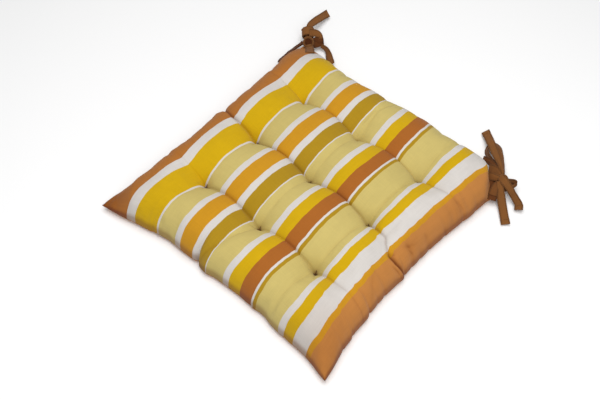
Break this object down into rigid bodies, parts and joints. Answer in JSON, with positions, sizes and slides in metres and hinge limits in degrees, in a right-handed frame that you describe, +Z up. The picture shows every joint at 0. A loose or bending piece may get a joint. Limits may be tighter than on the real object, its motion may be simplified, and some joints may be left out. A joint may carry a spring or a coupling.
{
  "type": "chair pad",
  "caption": "Square tufted chair pad with a striped cover, a plain underside and cloth ties at its back corners.",
  "frame": {"origin": "middle of the part's box in plan, ties included, on the surface the pad lies on", "axes": "+Z up out of the striped top, -Y towards the pad's front edge, +Y towards the edge with the ties, +X to the right seen from above with the front edge nearest"},
  "size_m": [0.4428, 0.4722, 0.062],
  "materials": {
    "cover": "plain-weave cotton, striped on top and plain rust brown underneath",
    "tape": "folded and stitched cotton tape"
  },
  "bodies": {
    "root": {"pad": "cover", "tie_right_long": "tape", "tie_right_wrap": "tape", "tie_left_long": "tape", "tie_left_wrap": "tape"}
  },
  "joints": []
}
